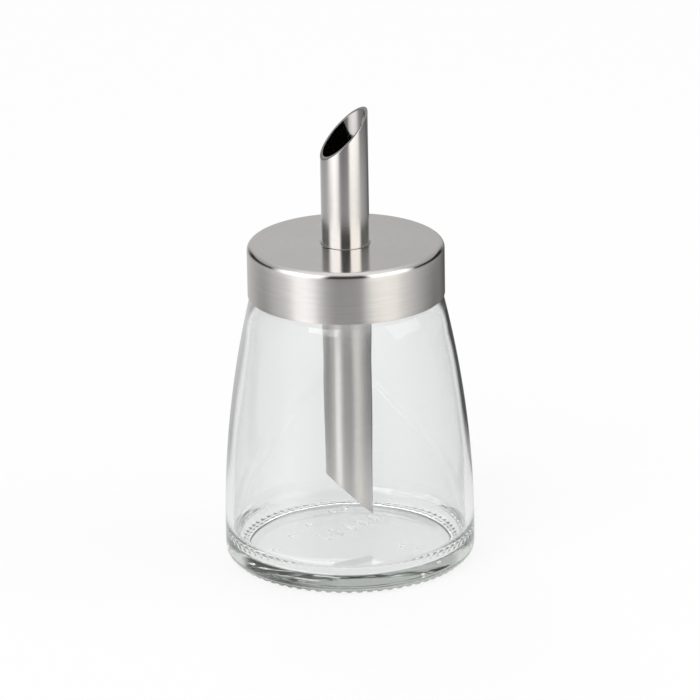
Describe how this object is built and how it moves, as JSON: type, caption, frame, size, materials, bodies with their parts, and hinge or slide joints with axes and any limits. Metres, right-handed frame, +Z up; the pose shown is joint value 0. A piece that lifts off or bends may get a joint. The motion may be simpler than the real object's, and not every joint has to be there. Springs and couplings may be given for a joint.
{
  "type": "sugar dispenser",
  "caption": "Tapered clear glass sugar dispenser with a round brushed steel cap and a slant-cut steel pour tube.",
  "frame": {"origin": "centre of the ring that the jar stands on, on the table", "axes": "+Z up along the jar and the pour tube; +X towards the longer side of both slanted tube ends; +Y makes it right-handed"},
  "size_m": [0.0752, 0.0752, 0.1395],
  "materials": {
    "jar_glass": "clear, polished, faintly cool",
    "cap_steel": "brushed round the axis, satin",
    "liner_plastic": "moulded, matt",
    "tube_steel": "finely brushed round the tube"
  },
  "bodies": {
    "root": {"glass_jar": "jar_glass", "cap_shell": "cap_steel", "cap_liner": "liner_plastic", "pour_tube": "tube_steel"}
  },
  "joints": []
}
